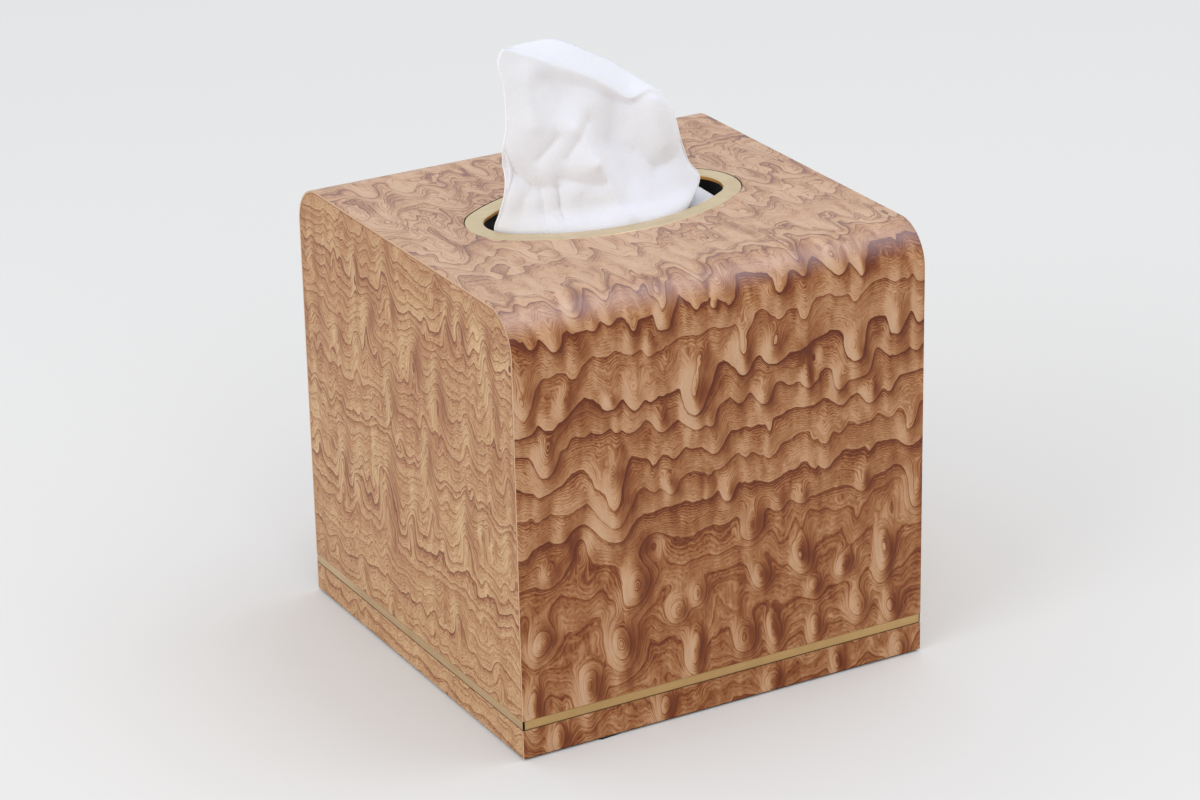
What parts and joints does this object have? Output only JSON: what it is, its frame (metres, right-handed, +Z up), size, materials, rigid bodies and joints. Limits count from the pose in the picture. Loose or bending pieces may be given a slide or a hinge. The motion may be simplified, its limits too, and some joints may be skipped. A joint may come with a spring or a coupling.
{
  "type": "tissue box cover",
  "caption": "Cube cover in figured wood veneer with rounded front and back top edges, an oval brass-ringed opening, a brass strip round its foot, and a box of tissues on a drop-in base.",
  "frame": {"origin": "on the table under the middle of the case", "axes": "+Z up, -Y towards the front, which is the wide veneered face that the picture shows on the right, -X towards the side that it shows on the left"},
  "size_m": [0.14, 0.14, 0.1941],
  "materials": {
    "core_board": "sawn and sealed fibreboard",
    "wrap_veneer": "satin lacquer over figured veneer",
    "side_veneer": "satin lacquer over figured veneer",
    "brass_strip": "brushed and lacquered",
    "brass_ring": "satin",
    "black_suede": "matt suede",
    "felt": "matt felt",
    "magnet": "plated",
    "carton": "plain coated card",
    "film": "clear film",
    "tissue": "soft embossed tissue"
  },
  "bodies": {
    "base": {"base_board": "core_board", "base_lining": "black_suede", "base_felt": "felt", "base_magnets": "magnet", "refill_carton": "carton", "carton_film": "film", "tissue_stack": "tissue"},
    "cover": {"front_board": "core_board", "back_board": "core_board", "left_board": "core_board", "right_board": "core_board", "top_board": "core_board", "wrap_veneer": "wrap_veneer", "left_veneer": "side_veneer", "right_veneer": "side_veneer", "front_plinth_veneer": "wrap_veneer", "back_plinth_veneer": "wrap_veneer", "left_plinth_veneer": "side_veneer", "right_plinth_veneer": "side_veneer", "front_strip": "brass_strip", "back_strip": "brass_strip", "left_strip": "brass_strip", "right_strip": "brass_strip", "opening_ring": "brass_ring", "opening_sleeve": "black_suede", "top_lining": "black_suede", "front_lining": "black_suede", "back_lining": "black_suede", "left_lining": "black_suede", "right_lining": "black_suede", "front_felt": "felt", "back_felt": "felt", "left_felt": "felt", "right_felt": "felt", "case_magnets": "magnet"},
    "tissue": {"tissue": "tissue"}
  },
  "joints": [
    {"name": "cover_lift", "type": "slide", "parent": "base", "child": "cover", "axis": [0, 0, 1], "range_m": [0, 0.13]},
    {"name": "tissue_pull", "type": "slide", "parent": "base", "child": "tissue", "axis": [0, 0, 1], "range_m": [0, 0.1]}
  ]
}
